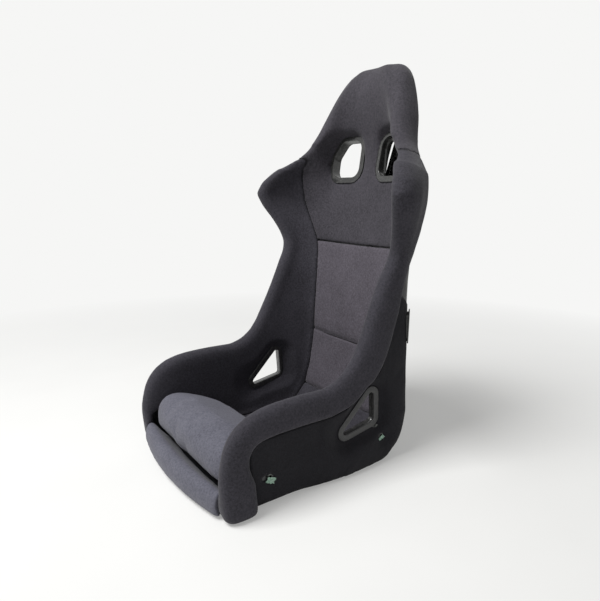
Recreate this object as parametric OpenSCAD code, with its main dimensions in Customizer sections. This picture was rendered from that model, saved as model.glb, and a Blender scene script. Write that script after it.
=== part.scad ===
// Racing bucket seat: a glass-fibre shell with glued foam pads, harness slots and side mounts.
// The seat faces -Y, stands on Z = 0, and X runs across it.

/* [Shell] */
// Wall of the glass-fibre shell
shell_t = 4; // [3:0.5:6]
// Half width between the shell's side walls, inside
tub_half = 216; // [210:1:224]
// Radius of the fold between the floor and the side walls
floor_fold_r = 25; // [15:1:30]
// How far the front lip is set back at its ends
lip_bow = 20; // [10:1:24]

/* [Pads] */
// Foam and cloth over the rim of the shell, measured from the rim to the crest of the roll
roll_t = 20; // [17:0.5:24]
// Foam on the outer side of the rim
wrap_t = 13; // [8:0.5:16]
// Foam on the seat pan
pan_pad_t = 12; // [8:0.5:16]
// Depth of the sewn grooves between panels
seam_depth = 5; // [2:0.5:7]
// Cloth and thin foam over the outer sides
side_cover_t = 2; // [1.5:0.1:3]
// Gap between pads and what carries them
fit_gap = 0.3; // [0.25:0.05:0.5]

/* [Leg cushion] */
// Half width of the removable leg cushion
cushion_half = 182; // [165:1:183]
// Height of the cushion's top over the shell's floor
cushion_top = 127; // [105:1:130]
// Length of the cushion from front to back
cushion_len = 172; // [140:1:190]
// Front of the cushion at the middle, behind the front of the shell's lip
cushion_start = 16; // [12:1:24]
// Rise of the crown across the cushion
cushion_crown = 9; // [3:1:14]

/* [Harness openings] */
// Width of a shoulder slot's clear opening
shoulder_w = 90; // [70:1:92]
// Height of a shoulder slot's clear opening
shoulder_h = 82; // [60:1:86]
// Centre of a shoulder slot from the middle of the seat
shoulder_x = 81; // [76:1:83]
// Height of the shoulder slots' centres
shoulder_z = 659; // [655:1:663]
// Width of the bezels' flanges round the shoulder slots
shoulder_flange = 13; // [9:0.5:14]
// Width of the bezels' flanges round the lap slots
lap_flange = 14; // [9:0.5:15]
// Wall of the bezels' tubes
bezel_wall = 2.4; // [2:0.1:3]
// Thickness of the bezels' flanges
bezel_lip = 3; // [2:0.25:4]
// Clearance of the shell's trimmed holes round the bezels' tubes
hole_clear = 3; // [1:0.5:4]
// Width of the crotch-strap slot
crotch_w = 70; // [50:1:80]
// Length of the crotch-strap slot from front to back
crotch_l = 26; // [20:1:32]

/* [Side mounts] */
// Distance between the two mounting bolts of a side
mount_pitch = 290; // [285:1:295]
// Height of the mounting bolts over the floor
mount_z = 67; // [60:1:75]
// Distance of the front mounting bolts behind the front of the seat's lip
mount_front = 120; // [116:1:126]
// Bore of the M8 threaded inserts, tapped size
insert_bore = 6.8; // [6.6:0.1:8]
// Outer diameter of the inserts' bushes
insert_d = 14; // [12:0.5:16]
// Length and height of the steel plates that carry the inserts
plate_size = 54; // [40:1:60]
// Thickness of the steel plates
plate_t = 2.5; // [2:0.5:4]

/* [Hidden] */

// Y of the middle of the seat's length, which is the model's origin
mid_y = 298.47;
// Shell outside to the padding round it
outer_wall = tub_half + shell_t;
floor_z = shell_t;
// Steps of the grid that all the padded pieces share
flat_steps = 4;
fold_steps = 4;
wall_steps = 4;

// Control curves along the seat: station, then Y and Z. Stations run from the front foot of
// the rolls (0) over the thighs (4 to 7), the hips, the back (9 to 12), the shoulders (13),
// the neck (15) and to the top of the head (21).
crest_path = [
    [0, 15, 0], [1, 15, 70], [2, 29, 138], [3, 62, 186], [4, 120, 211], [5, 200, 216],
    [6, 262, 215], [7, 318, 243], [8, 357, 301], [9, 390, 368], [10, 415, 420],
    [11, 437, 466], [12, 418, 520], [13, 389, 580], [14, 424, 631], [15, 466, 664],
    [16, 490, 695], [17, 512, 740], [18, 530, 785], [19, 547, 817], [20, 565, 836],
    [21, 584, 840]];
spine_path = [
    [4, 120, 4], [5, 200, 4], [6, 300, 4], [7, 424, 8], [8, 489, 96], [9, 511, 240],
    [10, 518, 340], [11, 529, 440], [12, 538, 505], [13, 544, 562], [14, 552, 612],
    [15, 559, 643], [16, 567, 678], [17, 583, 724], [18, 597, 770], [19, 602, 804],
    [20, 606, 824], [21, 607, 834]];
// Station, then half width at the crest of the roll
crest_half = [[0, 224], [1, 222], [2, 217], [3, 214], [5, 212], [7, 213], [8, 210], [9, 202],
    [10, 200], [11, 205], [12, 228], [13, 256], [14, 220], [15, 172], [16, 139], [17, 121],
    [18, 98], [19, 74], [20, 44], [21, 14]];
// Station, then half width of the padding at its widest
outer_half = [[0, 246], [1, 242], [2, 236], [3, 233], [5, 233], [7, 233], [8, 233], [9, 223],
    [10, 221], [11, 228], [12, 252], [13, 281], [14, 243], [15, 190], [16, 155], [17, 134],
    [18, 110], [19, 94], [20, 76], [21, 50]];
// Station, then depth behind the crest at which the outer padding ends, before the thighs
edge_depth = [[0, 72], [1, 72], [2, 60], [3, 58], [4, 54]];
// Station, then place in the rib at which the outer padding ends: 6 where the back starts to
// fold, 10 at the end of the fold, 14 at the rim
edge_place = [[4, 13.1], [7, 13.1], [8, 12.7], [9, 11.8], [10, 10.3], [11, 8.3], [12, 7.4],
    [15, 7], [21, 7.4]];
// Station, then half width of the back and seat panels between the bolsters
seam_half = [[4, 186], [6, 182], [7, 166], [8, 143], [9, 137], [10, 142], [11, 148],
    [12, 170], [13, 192], [14, 192], [15, 162], [16, 122], [17, 103], [18, 82],
    [19, 60], [20, 34], [21, 10]];
// Station, then thickness of the padding over the shell at the middle
panel_t = [[4, 12], [6, 12], [7, 24], [8, 54], [9, 49], [10, 32], [11, 21], [12, 16], [13, 10],
    [14, 9], [15, 10], [16, 16], [17, 43], [18, 64], [19, 60], [20, 46], [21, 28]];
// Station, then how far the panels' edges rise forwards to the seam
edge_rise = [[4, 0], [11, 0], [12, 12], [13, 28], [14, 44], [15, 54], [16, 46], [17, 20],
    [18, 4], [19, 0], [21, 0]];
// Station, then how much further back the middle of the shell lies than its folds
barrel = [[4, 0], [6, 0], [7, 3], [8, 8], [9, 14], [10, 20], [11, 26], [13, 26], [15, 18],
    [17, 12], [19, 8], [21, 3]];
// Station, then half width of the shell where the sides fold forwards
fold_half = [[4, 216], [7, 216], [8, 215], [9, 208], [10, 205], [11, 208], [12, 217], [13, 220],
    [14, 206], [15, 170], [16, 140], [17, 119], [18, 93], [19, 69], [20, 40], [21, 12]];
// Station, then size of that fold
fold_size = [[4, 25], [6, 25], [7, 26], [8, 30], [9, 38], [10, 44], [11, 46], [13, 50],
    [14, 44], [16, 30], [18, 22], [20, 12], [21, 5]];

// Interpolation: a smooth curve through a list of [station, value ...]
function span(t, u, i = 0) = i >= len(t) - 2 || u < t[i + 1][0] ? i : span(t, u, i + 1);
function rise(t, i, k) = (t[i + 1][k] - t[i][k]) / (t[i + 1][0] - t[i][0]);
function slope(t, i, k) =
    let (a = rise(t, max(i - 1, 0), k), b = rise(t, min(i, len(t) - 2), k))
    a * b <= 0 ? 0 : 2 * a * b / (a + b);
function value(t, u, k = 1) =
    let (i = span(t, u), h = t[i + 1][0] - t[i][0], f = (u - t[i][0]) / h,
         m0 = slope(t, i, k) * h, m1 = slope(t, i + 1, k) * h)
    (2 * f ^ 3 - 3 * f ^ 2 + 1) * t[i][k] + (f ^ 3 - 2 * f ^ 2 + f) * m0
    + (-2 * f ^ 3 + 3 * f ^ 2) * t[i + 1][k] + (f ^ 3 - f ^ 2) * m1;
function mix(a, b, f) = a + (b - a) * f;
function unit(v) = v / norm(v);
function bezier(a, b, c, f) = mix(mix(a, b, f), mix(b, c, f), f);

// Ribs: every rib lies in a plane through X. A point of a rib is [half width, depth behind
// the crest of the roll]; side_dir points from the back of the shell to the crest.
function crest(u) = [value(crest_path, u, 1), value(crest_path, u, 2)];
function spine(u) = [value(spine_path, u, 1), value(spine_path, u, 2)];
front_anchors = [[0, 80, 0], [1, 95, 68], [2, 104, 84], [3, 112, 62], [4, 120, 4]];
function anchor(u) = u < 4 ? [value(front_anchors, u, 1), value(front_anchors, u, 2)]
                           : spine(u);
function side_dir(u) = unit(crest(u) - anchor(u));
function rib_depth(u) = norm(crest(u) - spine(u));
function seat_point(u, p) =
    let (q = crest(u) - side_dir(u) * p[1])
    [p[0], q[0] - mid_y, q[1]];

// Inner face of the shell in a rib, from the middle of the seat to the rim
function rim_half(u) = u < 8 ? tub_half : value(crest_half, u) + (tub_half - value(crest_half, 8));
function wall_half(u) = u < 8 ? tub_half : value(outer_half, u) - wrap_t - shell_t;
function middle_bow(u, x) = value(barrel, u) * (1 - pow(x / value(fold_half, u), 2));
function floor_point(u, x) = [x, rib_depth(u) - value(barrel, u) + middle_bow(u, x)];
function fold_start(u) = value(fold_half, u) - value(fold_size, u);
// Seams reach the shell where it is still flat
function seam_root(u) = min(value(seam_half, u), fold_start(u) - 3);
function shell_rib(u) =
    let (s = seam_root(u), a = fold_start(u), r = value(fold_size, u),
         corner = [value(fold_half, u), rib_depth(u) - value(barrel, u)],
         foot = [u < 8 ? tub_half : mix(value(fold_half, u), wall_half(u), 0.4), corner[1] - r],
         rim = [rim_half(u), roll_t],
         bend = [u < 8 ? tub_half : wall_half(u) + 2, mix(foot[1], rim[1], 0.45)])
    concat([for (i = [0:flat_steps]) floor_point(u, s * i / flat_steps)],
           [floor_point(u, mix(s, a, 0.55))],
           [for (i = [0:fold_steps]) bezier(floor_point(u, a), corner, foot, i / fold_steps)],
           [for (i = [1:wall_steps]) bezier(foot, bend, rim, i / wall_steps)]);
// The same rib moved away from the occupant's side by a distance
function normal_at(c, i) =
    let (a = c[max(i - 1, 0)], b = c[min(i + 1, len(c) - 1)], t = unit(b - a))
    [-t[1], t[0]];
function moved(c, t) = [for (i = [0:len(c) - 1])
    c[i] + normal_at(c, i) * t * (i == 0 ? 1 : 1)];
function flip(c) = [for (p = c) [-p[0], p[1]]];
function reversed(c) = [for (i = [len(c) - 1:-1:0]) c[i]];

// A closed solid through a list of rings, which all have as many points
module loft(rings) {
    n = len(rings[0]);
    m = len(rings);
    p = [for (r = rings) each r];
    polyhedron(
        points = p,
        faces = concat(
            [for (k = [0:m - 2], i = [0:n - 1])
                let (a = k * n + i, b = k * n + (i + 1) % n)
                each norm(p[a] - p[b + n]) < norm(p[b] - p[a + n])
                    ? [[a, b + n, b], [a, a + n, b + n]] : [[a, a + n, b], [b, a + n, b + n]]],
            [[for (i = [0:n - 1]) i]],
            [[for (i = [n - 1:-1:0]) (m - 1) * n + i]]));
}

// Both halves of a rib as one closed ring: the near edge, then the far edge back again
function whole_ring(near, far) =
    concat(near, reversed(far), [for (i = [1:len(far) - 1]) flip(far)[i]],
           [for (i = [len(near) - 1:-1:1]) flip(near)[i]]);
function seat_ring(u, ring) = [for (p = ring) seat_point(u, p)];
// Stations of the shell, and a pad's ring between two of them
rib_step = 0.5;
function between(u, low, high) =
    let (a = floor(u / rib_step) * rib_step, f = (u - a) / rib_step)
    f < 0.001 ? seat_ring(a, low)
              : [for (i = [0:len(low) - 1]) mix(seat_point(a, low[i]), seat_point(a + rib_step, high[i]), f)];
function below(u) = floor(u / rib_step + 0.001) * rib_step;

// Front of the shell: a lip that stands up from the floor between the side walls
lip_path = [[0, 4, 6], [0.5, 5, 24], [1, 12, 37], [1.5, 22, 37], [2, 34, 26], [2.5, 48, 12],
            [3, 72, 5], [3.5, 96, 4], [4, 120, 4]];
lip_ends = 196;
lip_flat = tub_half - floor_fold_r;
function bow(x) = lip_bow * pow(min(x, lip_ends) / lip_ends, 2);
function lip_bend(u, x) = bow(x) * max(0, 1 - u / 3.2);
function rim_at(u) = crest(u) - side_dir(u) * roll_t;
function lip_point(u, x, out) =
    let (steep = unit([value(lip_path, min(u + 0.1, 4), 1) - value(lip_path, max(u - 0.1, 0), 1),
                       value(lip_path, min(u + 0.1, 4), 2) - value(lip_path, max(u - 0.1, 0), 2)]))
    [x, value(lip_path, u, 1) + lip_bend(u, x) + steep[1] * out,
     value(lip_path, u, 2) - steep[0] * out];
function front_rib(u, out) =
    let (y = value(lip_path, u, 1), z = value(lip_path, u, 2),
         o = lip_point(u, 0, out) - [0, y, z], oy = o[1], oz = o[2], s = seam_half_front,
         r = floor_fold_r, a = tub_half - r, rim = rim_at(max(u, 0.12)),
         foot = [tub_half + out, max(38, mix(y + lip_bend(u, a), rim[0], 0.6)),
                 z + r * min(1, u / 1.5)],
         top = [tub_half + out, max(rim[0], 35), max(rim[1], z + 4)],
         fold_from = [a, y + lip_bend(u, a) + oy, z + oz],
         knee = mix([tub_half - 19 + out, 40 + oy, z + oz],
                    [tub_half + out, y + lip_bend(u, a) + oy, z + oz], min(1, max(0, u - 1))))
    concat([for (i = [0:flat_steps]) let (x = s * i / flat_steps)
                [x, y + lip_bend(u, x) + oy, z + oz]],
           [let (x = mix(s, a, 0.55)) [x, y + lip_bend(u, x) + oy, z + oz]],
           [for (i = [0:fold_steps]) bezier(fold_from, knee, foot, i / fold_steps)],
           [for (i = [1:wall_steps]) mix(foot, top, i / wall_steps)]);
seam_half_front = 186;
function moved_y(c) = [for (p = c) [p[0], p[1] - mid_y, p[2]]];
function flip3(c) = [for (p = c) [-p[0], p[1], p[2]]];
function whole_ring3(near, far) =
    concat(near, reversed(far), [for (i = [1:len(far) - 1]) flip3(far)[i]],
           [for (i = [len(near) - 1:-1:1]) flip3(near)[i]]);

shell_top = 19.5;
module shell_tub() {
    loft(concat(
        [for (u = [0:0.25:3.75]) whole_ring3(moved_y(front_rib(u, 0)), moved_y(front_rib(u, shell_t)))],
        [for (u = [4:rib_step:shell_top])
            seat_ring(u, whole_ring(shell_rib(u), moved(shell_rib(u), shell_t)))]));
}

// Side bolster: foam round the rim, down to the seam on the inside and the edge on the outside
nose_in = 22;
rim_clear = 2.5;
last_place = 14;
function at_place(c, i) =
    let (k = min(floor(i), len(c) - 2)) mix(c[k], c[k + 1], i - k);
// The rib that the rolls follow: before the thighs only the flat side wall counts
front_wall = 90;
function roll_rib(u) =
    u >= 4 ? shell_rib(u)
           : [for (i = [0:last_place]) [tub_half, roll_t + front_wall * (last_place - i) / 4]];
function edge_at(u) =
    u >= 4 ? value(edge_place, u)
           : last_place - 4 * (value(edge_depth, u) - roll_t) / front_wall;
// Station, then extra foam on the outer side, which is fuller round the shoulders and the head
more_wrap = [[8, 0], [13, 0], [14, 3], [15, 6], [17, 8], [20, 7], [21, 4]];
function wrap(u) = u < 8 ? value(outer_half, u) - outer_wall : wrap_t + value(more_wrap, u);
// Extra clearance where the padding's edge runs across the shell's fold
edge_clear = [[0, 0], [9, 0.2], [9.8, 1.6], [11.2, 1.6], [12, 0.4], [21, 0.2]];
function outer_base(u) =
    let (c = moved(roll_rib(u), shell_t + fit_gap + value(edge_clear, u)), e = edge_at(u))
    [for (i = [7:last_place]) at_place(c, max(e + 0.02 * (i - 7), i))];
function roll_outside(u, dip, n = 4) =
    let (c = roll_rib(u), e = edge_at(u), last = last_place - 0.7, cx = value(crest_half, u),
         skin = [for (i = [0:n])
            let (t = shell_t + (wrap(u) - dip) * (i == 0 ? 0.45 : i == 1 ? 0.9 : 1))
            at_place(moved(c, t), mix(e, last, i / n))])
    concat(skin, [for (i = [1:3]) bezier(skin[n], [skin[n][0], dip], [cx, dip], i / 4)]);
function panel_depth(u, x) =
    floor_point(u, x)[1] - value(panel_t, u)
    - value(edge_rise, u) * pow(max(0, x / value(seam_half, u) - 0.55) / 0.45, 2);
front_foot = [[0, 19], [1.02, 19], [1.4, 50], [2, 72], [3, 100], [4, 207]];
function roll_inside(u, dip, groove) =
    let (cx = value(crest_half, u), s = value(seam_half, max(u, 4)) + fit_gap / 2,
         ci = max(cx - nose_in * min(1, cx / 60) + dip, u < 4 ? 0 : s + 2),
         foot = u < 4 ? [ci - 3 * min(1, max(0, u - 1)), value(front_foot, u)]
                      : [s, min(panel_depth(u, s) + groove, floor_point(u, s)[1] - 2)],
         start = [ci, min(30, foot[1] - 1)],
         knee = u < 4 ? mix(start, foot, 0.5)
                      : [mix(s, ci, u < 7 ? 0.75 : 0.42), mix(start[1], foot[1], u < 7 ? 0.6 : 0.8)])
    concat([for (i = [0:3]) bezier([cx, dip], [ci, dip], start, i / 4)],
           [for (i = [0:5]) bezier(start, knee, foot, i / 5)]);
function inner_base(u, foot) =
    let (c = moved(roll_rib(u), -fit_gap), n = flat_steps)
    u < 4 ? concat([for (i = [0:2]) [mix(foot[0], tub_half - fit_gap, (i + 0.5) / 3), foot[1] + 0.2 * i]],
                   [for (i = [1:8]) [tub_half - fit_gap, mix(foot[1] + 0.7, roll_t - 1.4, i / 8)]])
          : [for (i = [n:last_place]) i == n ? [seam_root(u) + fit_gap / 2, c[i][1]] : c[i]];
function rim_end(u) = [at_place(roll_rib(u), last_place)[0] + shell_t / 2, roll_t - rim_clear];
function bolster_ring(u, dip) =
    let (inside = roll_inside(u, dip, seam_depth))
    concat(outer_base(u), [rim_end(u)], reversed(inner_base(u, inside[9])),
           reversed(inside), reversed(roll_outside(u, dip)));
// Grooves where two panels are sewn together: they dip towards the seam
neck = 15;
groove_run = 0.2;
foot_round = 9;
function end_dip(u, first, last) =
    seam_depth * pow(max(0, 1 - min(last - u, u - first) / groove_run), 2);
function sewn(first, last) =
    [first + 0.01, first + 0.07, first + 0.2,
     each [for (u = [ceil((first + 0.3) * 2) / 2:0.5:last - 0.3]) u],
     last - 0.2, last - 0.07, last - 0.01];
module bolster_solid() {
    loft([for (u = [0, 0.08, 0.25, 0.6, 1, 1.2, 1.5, 1.8, 2.2, 2.6, 3, 3.5, each [4:0.5:14.5],
                    14.8, 14.93, 14.99])
        u < 4 ? seat_ring(u, bolster_ring(u, foot_round * pow(1 - min(1, u / 0.25), 2)))
              : let (dip = end_dip(u, -1, neck), a = below(u))
                between(u, bolster_ring(a, dip), bolster_ring(a + rib_step, dip))]);
}
module right_half_cut() difference() {
    children();
    shoulder_place() foam_cuts();
    lap_place() lap_cut();
    vent_place() vent_cut();
    mount_places() bush_pocket();
}
module bolster() color([0.2, 0.2, 0.23]) right_half_cut() bolster_solid();
module bolster_left() bolster();
module bolster_right() mirror([1, 0, 0]) bolster();

// Panels between the bolsters, from one sewn seam to the next
function panel_half(u) = value(seam_half, u) - fit_gap;
function panel_ring(u, dip) =
    let (s = panel_half(u), t = dip)
    whole_ring([each [for (i = [0:3]) let (x = (s - 10) * i / 3) [x, panel_depth(u, x) + t]],
                [s - 4, panel_depth(u, s) + t + seam_depth * 0.3],
                [s, min(panel_depth(u, s) + max(t, seam_depth), floor_point(u, s)[1] - 2)]],
               [for (i = [0:4]) let (x = (seam_root(u) - fit_gap) * i / 4)
                    [x, floor_point(u, x)[1] - fit_gap]]);
module panel(first, last)
    loft([for (u = sewn(first, last)) let (dip = end_dip(u, first, last), a = below(u))
        between(u, panel_ring(a, dip), panel_ring(a + rib_step, dip))]);
seam_pan = 7.6;
seam_low = 8.75;
seam_high = 11.35;
module lumbar_pad() color([0.27, 0.26, 0.3]) panel(seam_pan, seam_low);
module back_pad() color([0.27, 0.26, 0.3]) panel(seam_low, seam_high);
module shoulder_pad() color([0.26, 0.25, 0.29]) slotted() panel(seam_high, neck);
module slotted() difference() {
    children();
    both_sides() shoulder_place() foam_cuts();
}
pan_front = 84;
module pan_pad() color([0.2, 0.2, 0.23]) difference() {
    s = panel_half(4);
    loft(concat(
        [for (y = [pan_front, 100]) [for (p = panel_ring(4, 0)) [p[0], y - mid_y, crest(4)[1] - p[1]]]],
        [for (u = sewn(4, seam_pan))
            let (dip = u < 5 ? 0 : end_dip(u, 4, seam_pan), a = below(u))
            between(u, panel_ring(a, dip), panel_ring(a + rib_step, dip))]));
    crotch_place() crotch_cut(fit_gap);
}

// Head: one pad from the neck up, round the shell's rim on both sides and over its top
function head_near(u) =
    let (s = value(seam_half, u))
    concat([for (i = [0:3]) let (x = s * i / 4) [x, panel_depth(u, x)]],
           reversed(roll_inside(u, 0, 0)),
           reversed([for (i = [0:7]) roll_outside(u, 0)[i]]));
function head_far(u) =
    concat([for (i = [0:3]) moved(roll_rib(u), -fit_gap)[i]],
           inner_base(u, [value(seam_half, u), 0]), [rim_end(u)], reversed(outer_base(u)));
// The dome over the shell's top shrinks from the outline of the last rib
function dome_ring(u) =
    let (t = shell_top, near = head_near(t), end = near[len(near) - 1], k = rib_depth(u) / rib_depth(t),
         w = value(outer_half, u) / value(outer_half, t),
         far = [for (i = [0:8]) let (a = i / 8) [end[0] * a, mix(rib_depth(t) + shell_t, end[1], a * a)]])
    [for (p = whole_ring([for (i = [0:len(near) - 2]) near[i]], far)) [p[0] * w, p[1] * k]];
module head_pad() color([0.25, 0.24, 0.28]) slotted() {
    loft([for (u = [neck + 0.01, 15.1, 15.25, each [15.5:0.5:shell_top], shell_top + 0.03])
            let (a = below(u))
            between(u, whole_ring(head_near(a), head_far(a)),
                    whole_ring(head_near(a + rib_step), head_far(a + rib_step)))]);
    loft([for (u = [shell_top + 0.01, 19.75, 20, 20.3, 20.6, 20.8, 20.93, 21])
            seat_ring(u, dome_ring(u))]);
}

// Front roll: foam over the lip of the shell, swept across the seat. The skin's points are
// Y, Z and the share of the lip's bow that they follow.
roll_skin = [[2, 0.5, 1], [-7, 5, 1], [-12.5, 17, 1], [-11, 34, 1], [-3, 50, 0.95], [9, 57, 0.8],
             [21, 54, 0.65], [31, 42, 0.5], [44, 25, 0.35], [60, 11.5, 0.14]];
roll_half = lip_ends + 3.5;
function lip_base(u, x) =
    let (q = lip_point(u, x, -2 * fit_gap), end = max(0, x - lip_flat) / (roll_half - lip_flat))
    [x, q[1], q[2] + end * max(1.5, 6 - 4 * max(0, u - 1.25))];
function roll_ring(x) =
    reversed(concat([for (u = [2.75:-0.25:0.25]) lip_base(u, x)],
                    [for (p = roll_skin) [x, p[0] + bow(x) * p[2], p[1]]]));
module front_roll() color([0.3, 0.3, 0.35]) {
    half = [for (i = [0:flat_steps]) seam_half_front * i / flat_steps];
    near = concat([for (i = [0:flat_steps - 1]) each
                      [roll_ring(half[i]), mix(roll_ring(half[i]), roll_ring(half[i + 1]), 0.5)]],
                  [for (x = [seam_half_front, lip_flat, roll_half - 2, roll_half]) roll_ring(x)]);
    loft([for (r = concat([for (i = [len(near) - 1:-1:1]) flip3(near[i])], near)) moved_y(r)]);
}

// Leg cushion: a wedge with a crowned top, square sides that pull in, and a bowed front
cushion_bottom = 18.7;
cushion_roof = [[0, 0.56], [0.02, 0.7], [0.06, 0.84], [0.13, 0.94], [0.22, 1], [0.33, 1],
                [0.46, 0.95], [0.62, 0.85], [0.8, 0.73], [0.93, 0.62], [0.98, 0.5], [1, 0.36]];
cushion_floor = [[0, 58], [0.06, 56], [0.14, 48], [0.22, 35], [0.3, 23], [0.38, 18.7], [0.9, 18.7], [1, 26]];
cushion_bow = 12;
module leg_cushion() color([0.36, 0.37, 0.43]) {
    loft([for (f = [0, 0.02, 0.05, 0.09, 0.14, 0.2, 0.27, 0.35, 0.46, 0.58, 0.7, 0.82, 0.91, 0.97, 1])
        let (end = min(f, 1 - f), w = cushion_half - 7 * pow(1 - min(1, end / 0.06), 2),
             b = value(cushion_floor, f), t = value(cushion_roof, f) * cushion_top + floor_z,
             crown = cushion_crown * min(1, 0.3 + end * 12),
             side = [[0, b], [w - 16, b], [w - 6, b + 5], [w - 3, mix(b, t, 0.5)],
                     [w, t - 14], [w - 4, t - 6], [w - 14, t - 1], [w * 0.72, t + crown * 0.5],
                     [w * 0.36, t + crown * 0.9], [0, t + crown]],
             ring = reversed(concat(side, [for (i = [len(side) - 2:-1:1]) flip(side)[i]])))
        [for (p = ring) [p[0], cushion_start + 8 + f * cushion_len
            + cushion_bow * pow(p[0] / cushion_half, 2) * (1 - f) - mid_y, p[1]]]]);
}
strip_w = 30;
strip_l = 70;
strip_t = 1.2;
module strips(z) for (side = [-1, 1])
    translate([side * 95 - strip_w / 2, 95 - mid_y, z]) cube([strip_w, strip_l, strip_t]);
pan_top = floor_z + pan_pad_t;
module pan_hook_strips() color([0.05, 0.05, 0.06]) strips(pan_top);
module cushion_loop_strips() color([0.08, 0.08, 0.09]) strips(cushion_bottom - strip_t);

// Outer sides: cloth and thin foam from the rolls' edge round the lower and rear corners
function cover_start(u) = value([[3, 7.6], [6.5, 7.6], [8, 6], [11, 6]], u);
function cover_rib(u, out) =
    let (e = crest(u) - side_dir(u) * (value(edge_depth, u) + 1.5 + 6 * max(0, 4 - u)), f = front_rib(u, out),
         foot = f[flat_steps + 1 + fold_steps + 1])
    u < 4 ? concat([for (i = [6:10]) at_place(f, max(i, cover_start(u) + 0.02 * (i - 6)))
                        + [0, -mid_y, 0]],
                   [for (i = [1:4]) mix(foot, [outer_wall - shell_t + out, e[0], e[1]], i / 4)
                        + [0, -mid_y, 0]])
          : let (c = moved(shell_rib(u), out))
            concat([for (i = [6:10]) seat_point(u, at_place(c, max(i, cover_start(u) + 0.02 * (i - 6))))],
                   [for (i = [11:14]) seat_point(u, at_place(c, min(i, edge_at(u) - 0.06 - 0.02 * (14 - i))))]);
module side_cover_solid() {
    a = shell_t + fit_gap;
    b = a + side_cover_t;
    loft([for (u = [3.5, 3.75, each [4:0.5:10]])
        concat(cover_rib(u, a), reversed(cover_rib(u, b)))]);
}
module side_cover_left() color([0.13, 0.13, 0.15]) difference() {
    side_cover_solid();
    lap_place() lap_cut();
    vent_place() vent_cut();
    mount_places() bush_hole();
}
module side_cover_right() mirror([1, 0, 0]) side_cover_left();

module both_sides() {
    children();
    mirror([1, 0, 0]) children();
}

// Shoulder slots: rounded openings with their upper outer corner cut off
slot_tilt = 11;
slot_turn = 6;
slot_y = 548;
slot_r = 22;
module shoulder_place() translate([shoulder_x, slot_y - mid_y, shoulder_z])
    rotate([0, 0, -slot_turn]) rotate([-90 - slot_tilt, 0, 0]) children();
// Seen from behind the bezel's face: x outwards, y down, z into the seat
slot_w = shoulder_w / 2 - slot_r;
slot_h = shoulder_h / 2 - slot_r;
slot_corners = [[-slot_w, -slot_h], [-slot_w, slot_h], [slot_w, slot_h], [slot_w, 20 - slot_h],
                [slot_w - 16, -slot_h]];
module slot_part(corners, grow) hull() for (i = corners)
    translate(slot_corners[i]) circle(r = slot_r + grow, $fn = 32);
module slot_outline(grow) slot_part([0, 1, 2, 3, 4], grow);
module slot_cut() translate([0, 0, -60]) linear_extrude(160) slot_outline(bezel_wall + hole_clear);
// Foam is cut away in two passes, above and below the slot's diagonal
module foam_cut(low, len, grow) translate([0, 0, low]) linear_extrude(len) {
    slot_part([0, 1, 2], grow);
    slot_part([0, 2, 3, 4], grow);
}
module foam_cuts() {
    foam_cut(-60, 160, bezel_wall + fit_gap);
    foam_cut(-120, 120, shoulder_flange + fit_gap);
    foam_cut(backing_z - fit_gap, 60, shoulder_flange + fit_gap);
}
backing_z = 18.4;
tube_len = backing_z - fit_gap;
module bezel(outline_flange, len) {
    difference() {
        union() {
            translate([0, 0, -bezel_lip]) linear_extrude(bezel_lip) slot_outline(outline_flange);
            linear_extrude(len) slot_outline(bezel_wall);
        }
        translate([0, 0, -bezel_lip - 1]) linear_extrude(len + bezel_lip + 2) slot_outline(0);
    }
}
module shoulder_bezel_left() color([0.3, 0.3, 0.28]) shoulder_place() bezel(shoulder_flange, tube_len);
module shoulder_bezel_right() mirror([1, 0, 0]) shoulder_bezel_left();
module shoulder_backing_left() color([0.2, 0.2, 0.2]) shoulder_place() difference() {
    translate([0, 0, backing_z]) linear_extrude(bezel_lip) slot_outline(shoulder_flange);
    translate([0, 0, backing_z - 1]) linear_extrude(bezel_lip + 2) slot_outline(0);
}
module shoulder_backing_right() mirror([1, 0, 0]) shoulder_backing_left();

// Lap-belt slots: three-cornered openings through the sides
lap_corners = [[385, 169.5], [386.8, 114], [316, 101]];
lap_r = 8;
lap_inner_x = 186;
module lap_place() children();
module lap_outline(grow) hull() for (c = lap_corners)
    translate([c[0] - mid_y, c[1]]) circle(r = lap_r + grow, $fn = 32);
module across(x, len) translate([x, 0, 0]) rotate([90, 0, 90]) linear_extrude(len) children();
module lap_cut() {
    across(140, 130) lap_outline(bezel_wall + fit_gap);
    across(120, lap_inner_x - 120) lap_outline(lap_flange + fit_gap);
    across(cover_face, 60) lap_outline(lap_flange + fit_gap);
}
cover_face = outer_wall + fit_gap + side_cover_t;
module lap_bezel_left() color([0.3, 0.3, 0.28]) difference() {
    union() {
        across(lap_inner_x - bezel_lip, bezel_lip) lap_outline(lap_flange);
        across(lap_inner_x, cover_face - lap_inner_x) lap_outline(bezel_wall);
    }
    across(lap_inner_x - bezel_lip - 1, 60) lap_outline(0);
}
module lap_bezel_right() mirror([1, 0, 0]) lap_bezel_left();
module lap_backing_left() color([0.33, 0.33, 0.3]) difference() {
    across(cover_face, bezel_lip) lap_outline(lap_flange);
    across(cover_face - 1, bezel_lip + 2) lap_outline(0);
}
module lap_backing_right() mirror([1, 0, 0]) lap_backing_left();

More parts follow.
